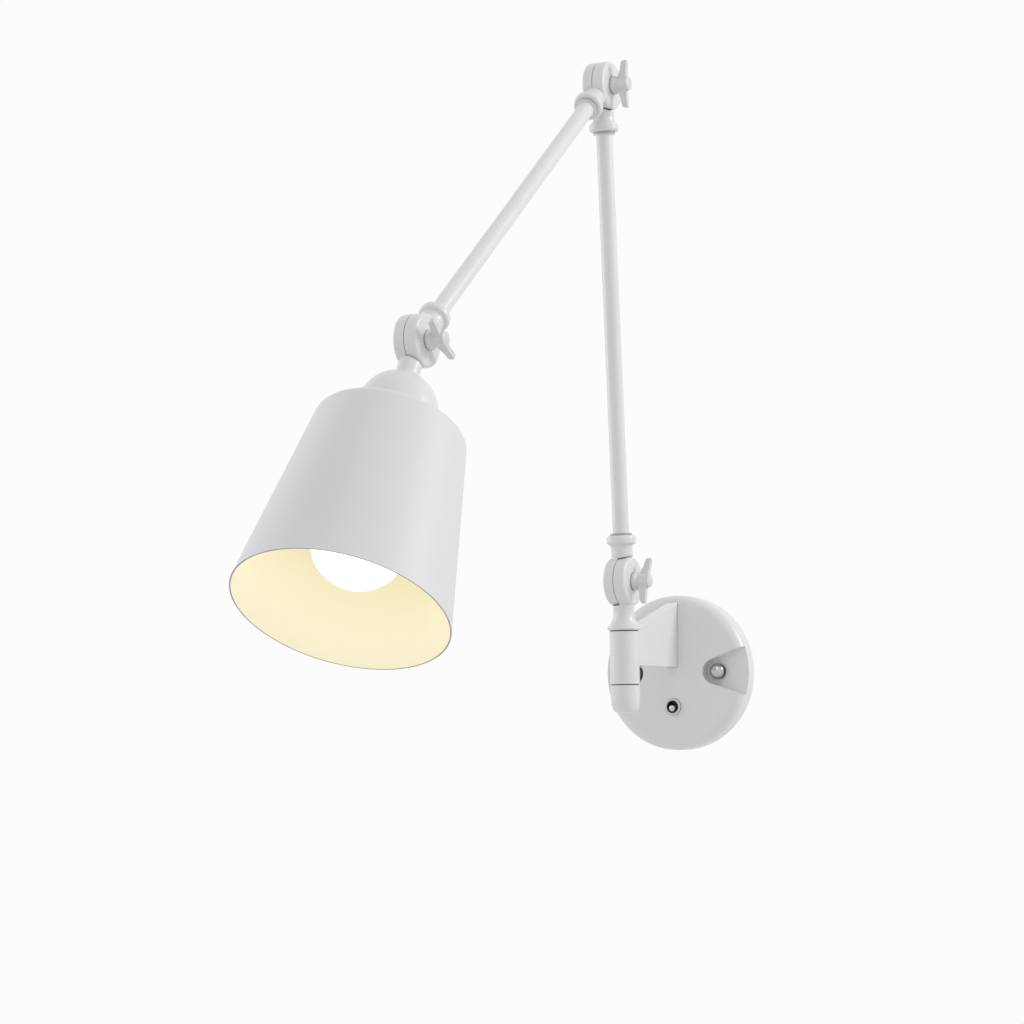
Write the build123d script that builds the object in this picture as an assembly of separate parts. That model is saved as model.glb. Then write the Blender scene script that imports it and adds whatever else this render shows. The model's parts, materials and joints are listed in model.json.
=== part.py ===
import os
from math import asin, atan2, cos, degrees, hypot, pi, radians, sin, sqrt, tan

from build123d import *

# An articulating wall lamp: a round canopy with a fin bracket, a swivel, two arms joined by
# half-lap knuckles that clamp with wing nuts, and a tapered shade over a screw lampholder.
# Millimetres, +Z up. The wall is the plane Y = 0 and the lamp stands out from it towards -Y.
# The origin is the middle of the mounting strap's wall face. The knuckle axes run along X.

# ---- Canopy
CANOPY_R = 60.0
CANOPY_RIM = 10.0  # straight rim, measured from the wall
CANOPY_SHOULDER = 8.0  # rounding between the rim and the face
CANOPY_CROWN = 2.5  # rise of the face from its shoulder to its middle
CANOPY_WALL = 2.0
POCKET_R = 10.0  # round end of the fan-shaped pocket about each cap nut
POCKET_HALF_ANGLE = 20.0
POCKET_FLOOR = 10.5  # height of the pocket's floor above the wall

# ---- Mounting strap, studs and cap nuts
STRAP_T = 2.0
STRAP_LENGTH = 108.0
STRAP_WIDTH = 20.0
STRAP_CORNER = 4.0
STRAP_CENTRE_HOLE_R = 5.2
BOX_SCREW_SPACING = 89.0
BOX_SCREW_SLOT_R = 2.4
BOX_SCREW_SLOT_RUN = 6.0  # distance between the centres of a slot's round ends
STUD_SPACING = 70.0
STUD_R = 2.0
STUD_HEAD_R = 4.0
STUD_REACH = 16.0  # from the wall to the stud's tip
STUD_CLEARANCE = 0.5
CAP_NUT_R = 6.0
CAP_NUT_SKIRT = 4.0
CAP_NUT_H = 8.5
GROUND_SCREW_X = -20.0
SCREW_R = 2.0
SCREW_HEAD_R = 3.5
SCREW_HEAD_H = 2.6
SCREW_HEAD_EDGE = 0.9

# ---- Bracket: foot inside the canopy, fin, and the barrel at its outer end
BARREL_REACH = 107.0  # from the wall to the swivel's axis
BARREL_R = 11.0
BARREL_BOTTOM = -10.5
BARREL_TOP = 29.0
FIN_T = 9.0
FIN_BOTTOM = 4.0
FIN_ROOT_TOP = 54.5  # top of the fin where it enters the canopy
FIN_NOSE_TOP = 27.8  # top of the fin at the barrel's axis
FIN_EDGE = 1.0
FOOT_FRONT = 14.0  # height of the foot's front face above the wall
FOOT_T = 3.0
FOOT_HALF_WIDTH = 15.0
FOOT_BOTTOM = 1.0
FOOT_TOP = 52.0
FOOT_CORNER = 4.0
BOSS_R = 3.5
BOSS_X = 10.5
BOSS_MARGIN = 8.0  # from the foot's ends to the screws
BOSS_SCREW_DEPTH = 3.4
SLOT_CLEARANCE = 0.15
CABLE_R = 2.75  # cable way through the fin
CABLE_Z = 14.0

# ---- Swivel
BUSH_FLANGE_T = 0.8
BUSH_FLANGE_R = 10.3
BUSH_SLEEVE_R = 7.0
BUSH_SLEEVE_LENGTH = 10.0
SPINDLE_R = 5.95
SPINDLE_BORE_R = 3.5
SPINDLE_THREAD_R = 5.0
SPINDLE_THREAD_LENGTH = 11.0
CABLE_WINDOW = 13.0
RUNNING = 0.06  # radial clearance of a turning fit
FLARE_START = 20.0  # along the neck, from the knuckle's axis
LIP_R = 12.6
LIP_T = 3.3
LIP_EDGE = 1.2
LIP_CLEARANCE = 0.5  # between the lip and the fin beside it
CAP_LENGTH = 20.2
CAP_STRAIGHT = 9.8
CAP_END_R = 6.7

# ---- Half-lap knuckle, one design for all six halves
KNUCKLE_HEIGHT = 66.4  # from the strap's middle up to the base knuckle's axis
DISC_R = 18.3
DISC_T = 8.7
DISC_EDGE = 2.5
FRICTION_T = 0.5
FRICTION_R = 17.6
LAP_CLEARANCE = 1.3  # between a disc's rim and the shoulder of the other half
NECK_R = 8.1
COVE_START = 22.0  # along the neck, from the knuckle's axis
COLLAR_START = 27.8
COLLAR_R = 11.1
COLLAR_T = 6.9
COLLAR_EDGE = 2.2
TUBE_LIP_R = 8.2
TUBE_LIP_T = 1.7
SOCKET_FLOOR = 24.0
WIRE_GROOVE_IN_R = 6.8
WIRE_GROOVE_OUT_R = 12.4
WIRE_GROOVE_DEPTH = 3.8
WIRE_WAY_R = 3.0
WIRE_WAY_SKIN = 0.6  # left between the wire way and the split plane
BOLT_R = 3.0
BOLT_HEAD_ACROSS = 10.0
BOLT_HEAD_T = 4.0
BOLT_HEAD_CLEARANCE = 0.1

# ---- Wing nut, measured outwards from its seat on the washer
WASHER_R = 7.0
WASHER_T = 0.8
HUB_FOOT_R = 6.9
HUB_FOOT_T = 2.0
HUB_SLOPE = 1.6  # length of the cone between the foot and the barrel of the hub
HUB_R = 5.1
HUB_LENGTH = 12.4
HUB_DOME = 0.9
BORE_LENGTH = 10.5
WING_T = 4.4  # at the hub
WING_TIP_T = 3.4
WING_REACH = 18.0
WING_ROOT_IN = 1.6
WING_WAIST = 9.6  # where the inner edge turns, from the nut's axis
WING_WAIST_IN = 5.6
WING_TIP_IN = 7.0
WING_ROOT_OUT = 10.4
WING_TIP_OUT = 11.4
WING_CORNER = 2.4
WING_EDGE = 0.6
BASE_WING_ANGLE = -21.0  # of the wings about X, from upright, at rest
ELBOW_WING_ANGLE = 2.0
HEAD_WING_ANGLE = 52.0

# ---- Arms
ARM_LENGTH = 374.0  # between knuckle axes, the same for both arms
TUBE_R = 6.2
TUBE_WALL = 1.2
LOWER_ARM_LEAN = 3.0  # degrees out from upright, at rest
UPPER_ARM_LEAN = 127.5
SHADE_LEAN = 150.0

# ---- Head: cup, lampholder and shade, measured along the shade's axis from the head knuckle
HEAD_NECK_FOOT_R = 10.3
HEAD_NECK_FOOT_T = 9.0
CUP_START = 33.0
CUP_FLAT_R = 10.0
CUP_R = 29.9
CUP_WALL = 1.0
SHADE_START = 71.8
SHADE_LENGTH = 139.0
SHADE_TOP_R = 50.5
SHADE_MOUTH_R = 72.0
SHADE_SHOULDER = 6.5
SHADE_WALL = 1.0
NIPPLE_R = 5.0
NIPPLE_BORE_R = 3.2
NIPPLE_LENGTH = 14.0
CUP_NUT_ACROSS = 14.0
CUP_NUT_T = 3.0
HOLDER_START = 41.0
HOLDER_NOSE_R = 9.0
HOLDER_NOSE_T = 5.0
HOLDER_R = 18.6
HOLDER_TAPER = 6.0
HOLDER_FLANGE_R = 22.0
HOLDER_FLANGE_T = 2.0
HOLDER_SKIRT_R = 19.6
HOLDER_SKIRT_LENGTH = 25.0
HOLDER_FLOOR = 69.5
HOLDER_BORE_R = 14.4
SHADE_HOLE_CLEARANCE = 0.4
RING_R = 28.5
RING_FLANGE_T = 3.0
RING_GRIP_R = 24.0
RING_LENGTH = 8.5
SHELL_WALL = 0.9
SHELL_LENGTH = 22.0
CONTACT_R = 5.0

# ---- Bulb
BULB_R = 31.75
BULB_CENTRE = 159.0
BULB_LENGTH = 116.0
BULB_NECK_R = 13.8
BULB_SHOULDER = 0.45  # fullness of the curve from the neck to the globe, as a share of its run
BULB_GLASS = 1.0
BULB_BASE_R = 13.0
BULB_BASE_LENGTH = 23.0
BULB_BASE_WALL = 0.8
BULB_TIP_R = 4.5
BULB_TIP_T = 2.0
BULB_CONE_H = 3.0

# ---- Toggle switch
SWITCH_Z = -26.6
SWITCH_BODY = 13.0
SWITCH_BACK = 5.0  # height of the body's back above the wall
SWITCH_BUSHING_R = 5.0
SWITCH_MOUTH_R = 4.15
SWITCH_RING_R = 6.55
SWITCH_RING_T = 2.0
SWITCH_RING_EDGE = 0.5
SWITCH_PIVOT = 15.0  # height of the lever's pivot above the wall
SWITCH_BALL_R = 2.4
SWITCH_STEM_R = 1.4
SWITCH_TIP_R = 2.6
SWITCH_LEVER_LENGTH = 9.2
SWITCH_TILT = 10.0  # the lever's tilt down, at rest
TERMINAL_T = 0.8
TERMINAL_WIDTH = 4.0
TERMINAL_LENGTH = 3.4
TERMINAL_SPACING = 7.0

# ---- Worked out from the sizes above
FACE_EDGE_H = CANOPY_RIM + CANOPY_SHOULDER
STUD_X = STUD_SPACING / 2
LAP_R = DISC_R + LAP_CLEARANCE
SPLIT = FRICTION_T / 2
DISC_FACE = SPLIT + DISC_T
NUT_SEAT = DISC_FACE + WASHER_T
BOLT_HEAD_SEAT = -(DISC_FACE - BOLT_HEAD_T)
CONTACT_TIP = BULB_CENTRE + BULB_R - BULB_LENGTH
SHADE_MOUTH = SHADE_START + SHADE_LENGTH
SWIVEL = Pos(0, -BARREL_REACH, 0)
CLEAR = 60.0  # reach of a cutting block past what it cuts


def step_out(distance, lean):
    """The place a distance along a line in the arms' plane that leans out from upright."""
    return Pos(0, -distance * sin(radians(lean)), distance * cos(radians(lean)))


BASE_KNUCKLE = SWIVEL * Pos(0, 0, KNUCKLE_HEIGHT)
ELBOW_KNUCKLE = BASE_KNUCKLE * step_out(ARM_LENGTH, LOWER_ARM_LEAN)
HEAD_KNUCKLE = ELBOW_KNUCKLE * step_out(ARM_LENGTH, UPPER_ARM_LEAN)


def leaning(place, lean):
    """A frame at a knuckle whose Z axis leans out from upright by an angle."""
    return place * Rot(lean, 0, 0)


# ---- Small helpers for round forms
def rod_x(radius, x_from, x_to):
    return Pos((x_from + x_to) / 2, 0, 0) * Rot(0, 90, 0) * Cylinder(radius, abs(x_to - x_from))


def rod_z(radius, z_from, z_to):
    return Pos(0, 0, (z_from + z_to) / 2) * Cylinder(radius, abs(z_to - z_from))


def rod_off_wall(radius, h_from, h_to):
    """A rod square to the wall, between two heights above it."""
    return Pos(0, -(h_from + h_to) / 2, 0) * Rot(90, 0, 0) * Cylinder(radius, abs(h_to - h_from))


def turned(outline):
    """A solid turned about Z from an outline of (radius, z) points."""
    return revolve(Plane.XZ * make_face(outline), Axis.Z)


def turned_off_wall(outline):
    """A solid turned about the wall's normal from an outline of (radius, height) points."""
    return Rot(90, 0, 0) * turned(outline)


def hexagon_x(across, x_from, x_to):
    prism = extrude(RegularPolygon(across / 2, 6, major_radius=False), abs(x_to - x_from))
    return Pos(min(x_from, x_to), 0, 0) * Rot(0, 90, 0) * prism


def dome_radius(rim, rise):
    """The ball's radius for a dome with a rim of one radius that rises by another size."""
    return (rim**2 + rise**2) / (2 * rise)


def dome_arc(rim, rise, base):
    """The outline of a dome from its rim, at a height, up to its middle on the axis."""
    ball = dome_radius(rim, rise)
    middle = (asin((ball - rise) / ball) + pi / 2) / 2
    top = base + rise
    return ThreePointArc((rim, base), (ball * cos(middle), top - ball + ball * sin(middle)), (0, top))


# ---- Canopy
def crowned_form(inset):
    """The canopy's outer form or, with its wall as the inset, the space inside it."""
    radius = CANOPY_R - inset
    bend = CANOPY_SHOULDER - inset
    edge_r = radius - bend
    edge_h = CANOPY_RIM + bend
    diagonal = bend * sqrt(0.5)
    outline = Polyline((0, edge_h + CANOPY_CROWN), (0, 0), (radius, 0), (radius, CANOPY_RIM))
    shoulder_mid = (edge_r + diagonal, CANOPY_RIM + diagonal)
    outline += ThreePointArc((radius, CANOPY_RIM), shoulder_mid, (edge_r, edge_h))
    outline += dome_arc(edge_r, CANOPY_CROWN, edge_h)
    return turned_off_wall(outline)


def face_height(radius):
    """Height of the crowned face above the wall at a distance from its middle."""
    ball = dome_radius(CANOPY_R - CANOPY_SHOULDER, CANOPY_CROWN)
    return FACE_EDGE_H + CANOPY_CROWN - ball + sqrt(ball**2 - radius**2)


def pocket_block(side, grow, height):
    """A fan-shaped block about one cap nut, from a height above the wall outwards."""
    radius = POCKET_R + grow
    slope = radians(POCKET_HALF_ANGLE)
    apex = STUD_X - radius / sin(slope)
    touch = (STUD_X - radius * sin(slope), radius * cos(slope))
    far = (CANOPY_R + CLEAR, (CANOPY_R + CLEAR - apex) * tan(slope))
    fan = Polygon((touch[0], -touch[1]), (far[0], -far[1]), far, touch, align=None)
    outline = fan + Pos(STUD_X, 0) * Circle(radius)
    block = extrude(Plane.XZ.offset(height) * outline, CLEAR)
    return block if side > 0 else mirror(block, Plane.YZ)


def foot_screw_places():
    places = []
    for side in (-1, 1):
        for z in (FOOT_BOTTOM + BOSS_MARGIN, FOOT_TOP - BOSS_MARGIN):
            places.append(Pos(side * BOSS_X, 0, z))
    return places


def switch_seat():
    """Height of the flat seat that the switch's ring nut sits on."""
    return face_height(-SWITCH_Z + SWITCH_RING_R)


def canopy():
    hollow = crowned_form(CANOPY_WALL)
    for side in (-1, 1):
        hollow -= pocket_block(side, CANOPY_WALL, POCKET_FLOOR - CANOPY_WALL)
    for place in foot_screw_places():
        hollow -= place * rod_off_wall(BOSS_R, FOOT_FRONT, FOOT_FRONT + CLEAR)
    body = crowned_form(0) - hollow
    for side in (-1, 1):
        body -= pocket_block(side, 0, POCKET_FLOOR)
        body -= Pos(side * STUD_X, 0, 0) * rod_off_wall(STUD_R + STUD_CLEARANCE, 0, POCKET_FLOOR)
    for place in foot_screw_places():
        body -= place * rod_off_wall(SCREW_R, FOOT_FRONT, FOOT_FRONT + BOSS_SCREW_DEPTH)
    slot_height = FIN_ROOT_TOP - FIN_BOTTOM + 2 * SLOT_CLEARANCE
    slot_z = (FIN_ROOT_TOP + FIN_BOTTOM) / 2
    slot = Box(FIN_T + 2 * SLOT_CLEARANCE, CLEAR, slot_height)
    body -= Pos(0, -FOOT_FRONT - CLEAR / 2, slot_z) * slot
    switch_hole = rod_off_wall(SWITCH_BUSHING_R, FOOT_FRONT, CLEAR)
    seat = rod_off_wall(SWITCH_RING_R + SLOT_CLEARANCE, switch_seat(), CLEAR)
    body -= Pos(0, 0, SWITCH_Z) * (switch_hole + seat)
    return body


# ---- Mounting strap and its hardware
def mounting_strap():
    plate = RectangleRounded(STRAP_LENGTH, STRAP_WIDTH, STRAP_CORNER)
    plate -= Circle(STRAP_CENTRE_HOLE_R)
    plate -= Pos(GROUND_SCREW_X, 0) * Circle(SCREW_R)
    for side in (-1, 1):
        slot = SlotCenterToCenter(BOX_SCREW_SLOT_RUN, 2 * BOX_SCREW_SLOT_R)
        plate -= Pos(side * BOX_SCREW_SPACING / 2, 0) * slot
    strap = extrude(Plane.XZ * plate, STRAP_T)
    for side in (-1, 1):
        strap -= Pos(side * STUD_X, 0, 0) * stud()
    return strap


def stud():
    """A stud whose countersunk head lies flush in the strap's wall face."""
    outline = Polyline((0, 0), (STUD_HEAD_R, 0), (STUD_R, STRAP_T), (STUD_R, STUD_REACH),
                       (0, STUD_REACH), close=True)
    return turned_off_wall(outline)


def cap_nut():
    """A domed nut, screwed down on the pocket's floor, with a blind bore for the stud."""
    outline = Polyline((0, CAP_NUT_H), (0, 0), (CAP_NUT_R, 0), (CAP_NUT_R, CAP_NUT_SKIRT))
    outline += dome_arc(CAP_NUT_R, CAP_NUT_H - CAP_NUT_SKIRT, CAP_NUT_SKIRT)
    nut = turned_off_wall(outline)
    return Pos(0, -POCKET_FLOOR, 0) * nut - rod_off_wall(STUD_R, 0, STUD_REACH)


def pan_screw(seat, length):
    """A pan-head screw driven outwards, its head on a seat at a height above the wall."""
    head = rod_off_wall(SCREW_HEAD_R, seat - SCREW_HEAD_H, seat)
    rim = head.faces().sort_by(Axis.Y)[-1].edges()
    return fillet(rim, SCREW_HEAD_EDGE) + rod_off_wall(SCREW_R, seat, seat + length)


def ground_screw():
    screw = Rot(0, 0, 180) * pan_screw(0, STRAP_T)
    return Pos(GROUND_SCREW_X, -STRAP_T, 0) * screw


# ---- Bracket
def arm_bracket():
    fin_outline = Polygon((-BARREL_REACH, FIN_BOTTOM), (-FOOT_FRONT, FIN_BOTTOM),
                          (-FOOT_FRONT, FIN_ROOT_TOP), (-FACE_EDGE_H, FIN_ROOT_TOP),
                          (-BARREL_REACH, FIN_NOSE_TOP), align=None)
    fin = Pos(-FIN_T / 2, 0, 0) * extrude(Plane.YZ * fin_outline, FIN_T)
    sloped = [edge for edge in fin.edges().filter_by(Plane.YZ) if edge.center().Z > FIN_NOSE_TOP
              and edge.bounding_box().size.Y > FIN_T and edge.bounding_box().size.Z > FIN_EDGE]
    fin = fillet(sloped, FIN_EDGE)
    foot_box = Box(2 * FOOT_HALF_WIDTH, FOOT_T, FOOT_TOP - FOOT_BOTTOM)
    foot = Pos(0, -FOOT_FRONT + FOOT_T / 2, (FOOT_TOP + FOOT_BOTTOM) / 2) * foot_box
    foot = fillet(foot.edges().filter_by(Axis.Y), FOOT_CORNER)
    bracket = fin + foot + SWIVEL * rod_z(BARREL_R, BARREL_BOTTOM, BARREL_TOP)
    for place in foot_screw_places():
        bracket -= place * rod_off_wall(SCREW_R + SLOT_CLEARANCE, 0, FOOT_FRONT)
    bracket -= Pos(0, 0, CABLE_Z) * rod_off_wall(CABLE_R, 0, BARREL_REACH)
    bracket -= SWIVEL * rod_z(SPINDLE_R + SLOT_CLEARANCE, BARREL_BOTTOM, BARREL_TOP)
    bracket -= SWIVEL * rod_z(LIP_R + LIP_CLEARANCE, BARREL_TOP, BARREL_TOP + CLEAR)
    for end, inwards in ((BARREL_TOP, -1), (BARREL_BOTTOM, 1)):
        bracket -= SWIVEL * rod_z(BUSH_SLEEVE_R, end, end + inwards * BUSH_SLEEVE_LENGTH)
    return bracket


def swivel_bush(end, outwards):
    """A flanged bush, pressed into one end of the barrel."""
    bush = rod_z(BUSH_FLANGE_R, end, end + outwards * BUSH_FLANGE_T)
    bush += rod_z(BUSH_SLEEVE_R, end, end - outwards * BUSH_SLEEVE_LENGTH)
    bush -= rod_z(SPINDLE_R + RUNNING, end - CLEAR, end + CLEAR)
    return SWIVEL * bush


# ---- Half-lap knuckle
def half_knuckle(side, neck):
    """A disc on one side of the split plane, with a neck that clears the other half's disc."""
    disc = rod_x(DISC_R, side * SPLIT, side * DISC_FACE)
    outer_rim = disc.edges().filter_by(GeomType.CIRCLE).sort_by(Axis.X)
    disc = fillet(outer_rim[-1] if side > 0 else outer_rim[0], DISC_EDGE)
    half = disc + (neck - rod_x(LAP_R, side * SPLIT, -side * CLEAR))
    half -= rod_x(BOLT_R + RUNNING, -CLEAR, CLEAR)
    groove = rod_x(WIRE_GROOVE_OUT_R, 0, side * (SPLIT + WIRE_GROOVE_DEPTH))
    groove -= rod_x(WIRE_GROOVE_IN_R, -CLEAR, CLEAR)
    half -= groove
    groove_middle = (WIRE_GROOVE_IN_R + WIRE_GROOVE_OUT_R) / 2
    way_x = side * (SPLIT + WIRE_WAY_SKIN + WIRE_WAY_R)
    half -= Pos(way_x, 0, 0) * rod_z(WIRE_WAY_R, groove_middle, SOCKET_FLOOR)
    if side < 0:
        across = BOLT_HEAD_ACROSS + 2 * BOLT_HEAD_CLEARANCE
        half -= hexagon_x(across, -CLEAR, BOLT_HEAD_SEAT)
    return half


def cove_mid(start, end):
    """The middle point of a cove that leaves a neck along its side and runs out to a foot."""
    return (start[0] + (end[0] - start[0]) * (1 - sqrt(0.5)), start[1] + (end[1] - start[1]) * sqrt(0.5))


def bead_outline(start, end, radius, edge):
    """The outline of a round bead between two places along its axis, with rounded edges."""
    inner = radius - edge
    bow = edge * (1 - sqrt(0.5))
    outline = ThreePointArc((inner, start), (radius - bow, start + bow), (radius, start + edge))
    outline += Line((radius, start + edge), (radius, end - edge))
    outline += ThreePointArc((radius, end - edge), (radius - bow, end - bow), (inner, end))
    return outline


def tube_fitting(side):
    """Half a knuckle with a beaded collar and a socket for an arm's tube, its neck along Z."""
    cove_start = (NECK_R, COVE_START)
    cove_end = (COLLAR_R - COLLAR_EDGE, COLLAR_START)
    collar_end = COLLAR_START + COLLAR_T
    lip_end = collar_end + TUBE_LIP_T
    outline = Polyline((0, lip_end), (0, 0), (NECK_R, 0), cove_start)
    outline += ThreePointArc(cove_start, cove_mid(cove_start, cove_end), cove_end)
    outline += bead_outline(COLLAR_START, collar_end, COLLAR_R, COLLAR_EDGE)
    outline += Polyline((COLLAR_R - COLLAR_EDGE, collar_end), (TUBE_LIP_R, collar_end),
                        (TUBE_LIP_R, lip_end), (0, lip_end))
    return half_knuckle(side, turned(outline)) - rod_z(TUBE_R, SOCKET_FLOOR, lip_end)


def arm_tube():
    tube = rod_z(TUBE_R, SOCKET_FLOOR, ARM_LENGTH - SOCKET_FLOOR)
    return tube - rod_z(TUBE_R - TUBE_WALL, 0, ARM_LENGTH)


def swivel_spindle():
    """Half a knuckle over a flared foot and a hollow shaft, which hangs in the barrel."""
    lip_low = KNUCKLE_HEIGHT - BARREL_TOP - BUSH_FLANGE_T
    lip_high = lip_low - LIP_T
    flare_start = (NECK_R, FLARE_START)
    flare_end = (LIP_R - LIP_EDGE, lip_high)
    outline = Polyline((0, lip_low), (0, 0), (NECK_R, 0), flare_start)
    outline += ThreePointArc(flare_start, cove_mid(flare_start, flare_end), flare_end)
    outline += bead_outline(lip_high, lip_low, LIP_R, LIP_EDGE)
    outline += Line((LIP_R - LIP_EDGE, lip_low), (0, lip_low))
    neck = turned(outline)
    shaft_end = KNUCKLE_HEIGHT - BARREL_BOTTOM + BUSH_FLANGE_T
    half = half_knuckle(1, neck) + rod_z(SPINDLE_R, lip_low, shaft_end)
    half += rod_z(SPINDLE_THREAD_R, shaft_end, shaft_end + SPINDLE_THREAD_LENGTH)
    half -= rod_z(SPINDLE_BORE_R, SOCKET_FLOOR, shaft_end + SPINDLE_THREAD_LENGTH)
    window = Box(2 * SPINDLE_R, SPINDLE_R, CABLE_WINDOW)
    half -= Pos(0, -SPINDLE_R / 2, KNUCKLE_HEIGHT - CABLE_Z) * window
    return half


def bottom_cap():
    """The closed, rounded nut under the barrel that holds the spindle down."""
    top = BARREL_BOTTOM - BUSH_FLANGE_T
    bend = CAP_LENGTH - CAP_STRAIGHT
    outline = Polyline((0, CAP_LENGTH), (0, 0), (BARREL_R, 0), (BARREL_R, CAP_STRAIGHT))
    outline += EllipticalCenterArc((CAP_END_R, CAP_STRAIGHT), BARREL_R - CAP_END_R, bend)
    outline += Line((CAP_END_R, CAP_LENGTH), (0, CAP_LENGTH))
    cap = turned(outline) - rod_z(SPINDLE_THREAD_R, 0, SPINDLE_THREAD_LENGTH)
    return SWIVEL * Pos(0, 0, top) * Rot(180, 0, 0) * cap


# ---- Clamp of one knuckle: bolt, friction disc, washer and wing nut, along X
def pivot_bolt():
    head = hexagon_x(BOLT_HEAD_ACROSS, -DISC_FACE, BOLT_HEAD_SEAT)
    return head + rod_x(BOLT_R, BOLT_HEAD_SEAT, NUT_SEAT + BORE_LENGTH - WASHER_T)


def friction_disc():
    return rod_x(FRICTION_R, -SPLIT, SPLIT) - rod_x(WIRE_GROOVE_OUT_R, -SPLIT, SPLIT)


def washer():
    return rod_x(WASHER_R, DISC_FACE, NUT_SEAT) - rod_x(BOLT_R + RUNNING, DISC_FACE, NUT_SEAT)


def wing():
    """One wing of the nut, along +Z, thinner towards its rounded tip."""
    outline = Polygon((WING_ROOT_IN, 0), (WING_ROOT_OUT, 0), (WING_TIP_OUT, WING_REACH),
                      (WING_TIP_IN, WING_REACH), (WING_WAIST_IN, WING_WAIST), align=None)
    inner_corner = outline.vertices().sort_by(Axis.Y)[-2:].sort_by(Axis.X)[0]
    blade = extrude(Plane.XZ * fillet(inner_corner, WING_CORNER), WING_T / 2, both=True)
    lean = degrees(atan2((WING_T - WING_TIP_T) / 2, WING_REACH))
    for side in (-1, 1):
        shave = Pos(0, side * (WING_T + CLEAR) / 2, 0) * Box(CLEAR, CLEAR, CLEAR)
        blade -= Rot(side * lean, 0, 0) * shave
    return fillet(blade.faces().sort_by(Axis.Z)[-1].edges(), WING_EDGE)


def wing_nut(angle):
    """A round hub on a wider foot, domed at its outer end, with two opposite wings."""
    outline = Polyline((0, HUB_LENGTH + HUB_DOME), (0, 0), (HUB_FOOT_R, 0), (HUB_FOOT_R, HUB_FOOT_T),
                       (HUB_R, HUB_FOOT_T + HUB_SLOPE), (HUB_R, HUB_LENGTH))
    outline += dome_arc(HUB_R, HUB_DOME, HUB_LENGTH)
    nut = Rot(0, 90, 0) * turned(outline) + wing() + Rot(180, 0, 0) * wing()
    nut -= rod_x(BOLT_R + RUNNING, 0, BORE_LENGTH)
    return Rot(angle, 0, 0) * Pos(NUT_SEAT, 0, 0) * nut


# ---- Head
def head_fitting():
    """Half a knuckle whose neck stands on the cup and ends in a hollow threaded nipple."""
    foot_start = CUP_START - HEAD_NECK_FOOT_T
    start = (NECK_R, foot_start)
    end = (HEAD_NECK_FOOT_R, CUP_START)
    outline = Polyline((0, CUP_START), (0, 0), (NECK_R, 0), start)
    outline += ThreePointArc(start, cove_mid(start, end), end)
    outline += Line(end, (0, CUP_START))
    half = half_knuckle(-1, turned(outline)) + rod_z(NIPPLE_R, CUP_START, CUP_START + NIPPLE_LENGTH)
    return half - rod_z(NIPPLE_BORE_R, SOCKET_FLOOR, CUP_START + NIPPLE_LENGTH)


def cup_form(inset):
    start = CUP_START + inset
    flat_r = CUP_FLAT_R
    reach = CUP_R - inset - flat_r
    outline = Polyline((flat_r, start), (0, start), (0, SHADE_START), (CUP_R - inset, SHADE_START))
    outline += EllipticalCenterArc((flat_r, SHADE_START), reach, SHADE_START - start, 270)
    return turned(outline)


def socket_cup():
    return cup_form(0) - cup_form(CUP_WALL) - rod_z(NIPPLE_R, 0, SHADE_START)


def cup_nut():
    nut = extrude(RegularPolygon(CUP_NUT_ACROSS / 2, 6, major_radius=False), CUP_NUT_T)
    return Pos(0, 0, CUP_START + CUP_WALL) * nut - rod_z(NIPPLE_R, 0, SHADE_START)


def lampholder_body():
    """The insulating body: nose on the nipple, flange on the shade and a threaded skirt."""
    nose_end = HOLDER_START + HOLDER_NOSE_T
    flange_start = SHADE_START - HOLDER_FLANGE_T
    skirt_end = SHADE_START + HOLDER_SKIRT_LENGTH
    outline = Polyline((0, HOLDER_START), (HOLDER_NOSE_R, HOLDER_START), (HOLDER_NOSE_R, nose_end),
                       (HOLDER_R, nose_end + HOLDER_TAPER), (HOLDER_R, flange_start),
                       (HOLDER_FLANGE_R, flange_start), (HOLDER_FLANGE_R, SHADE_START),
                       (HOLDER_SKIRT_R, SHADE_START), (HOLDER_SKIRT_R, skirt_end), (0, skirt_end),
                       close=True)
    body = turned(outline) - rod_z(HOLDER_BORE_R, HOLDER_FLOOR, skirt_end)
    body -= rod_z(NIPPLE_R, HOLDER_START, CUP_START + NIPPLE_LENGTH)
    return body - rod_z(NIPPLE_BORE_R, HOLDER_START, nose_end + HOLDER_TAPER)


def lampholder_shell():
    start = HOLDER_FLOOR
    shell = rod_z(HOLDER_BORE_R, start, start + SHELL_LENGTH + SHELL_WALL)
    return shell - rod_z(HOLDER_BORE_R - SHELL_WALL, start, start + CLEAR)


def lampholder_contact():
    return rod_z(CONTACT_R, HOLDER_FLOOR, CONTACT_TIP)


def shade_form(inset):
    """The shade's outer form or, with its wall as the inset, the space inside it."""
    top = SHADE_START + inset
    slope = (SHADE_MOUTH_R - SHADE_TOP_R) / SHADE_LENGTH
    side_inset = inset * sqrt(1 + slope**2)
    top_r = SHADE_TOP_R + slope * inset - side_inset
    mouth_r = SHADE_MOUTH_R - side_inset
    outline = Polyline((0, top), (top_r, top), (mouth_r, SHADE_MOUTH), (0, SHADE_MOUTH), close=True)
    form = turned(outline)
    rim = form.edges().filter_by(GeomType.CIRCLE).sort_by(Axis.Z)[0]
    return fillet(rim, SHADE_SHOULDER - inset)


def shade():
    hole_r = HOLDER_SKIRT_R + SHADE_HOLE_CLEARANCE
    body = shade_form(0) - shade_form(SHADE_WALL)
    return body - rod_z(hole_r, 0, SHADE_START + CLEAR)


def shade_ring():
    """The ring that screws up the lampholder's skirt and clamps the shade to its flange."""
    top = SHADE_START + SHADE_WALL
    ring = rod_z(RING_R, top, top + RING_FLANGE_T) + rod_z(RING_GRIP_R, top, top + RING_LENGTH)
    return ring - rod_z(HOLDER_SKIRT_R, 0, top + CLEAR)


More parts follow.
